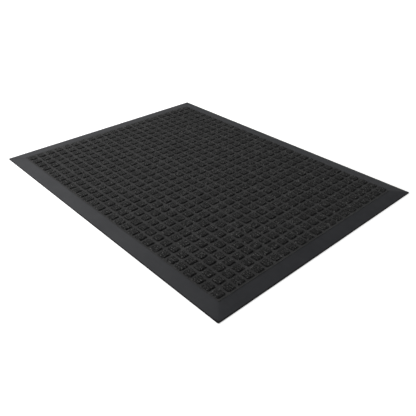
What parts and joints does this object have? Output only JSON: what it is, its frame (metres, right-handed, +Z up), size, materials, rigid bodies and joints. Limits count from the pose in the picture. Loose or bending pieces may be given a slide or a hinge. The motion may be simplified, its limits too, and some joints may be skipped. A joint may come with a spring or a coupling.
{
  "type": "door mat",
  "caption": "Low-profile rectangular entrance mat with a needled carpet face of raised squares and a wide bevelled rubber border on a rubber backing.",
  "frame": {"origin": "middle of the flat underside, on the floor", "axes": "+X along the mat's length, +Y across its width, +Z up out of the carpet face"},
  "size_m": [1.15, 0.889, 0.012],
  "materials": {
    "backing_rubber": "matt black moulded rubber, faintly textured",
    "border_rubber": "smooth black rubber with a soft satin sheen",
    "carrier_cloth": "plain woven cloth",
    "carpet_fibre": "charcoal needled fibre, coarse and matt, pressed into raised squares"
  },
  "bodies": {
    "root": {"rubber_backing_sheet": "backing_rubber", "border_strip_front": "border_rubber", "border_strip_right": "border_rubber", "border_strip_back": "border_rubber", "border_strip_left": "border_rubber", "carrier_cloth": "carrier_cloth", "carpet_face": "carpet_fibre"}
  },
  "joints": []
}
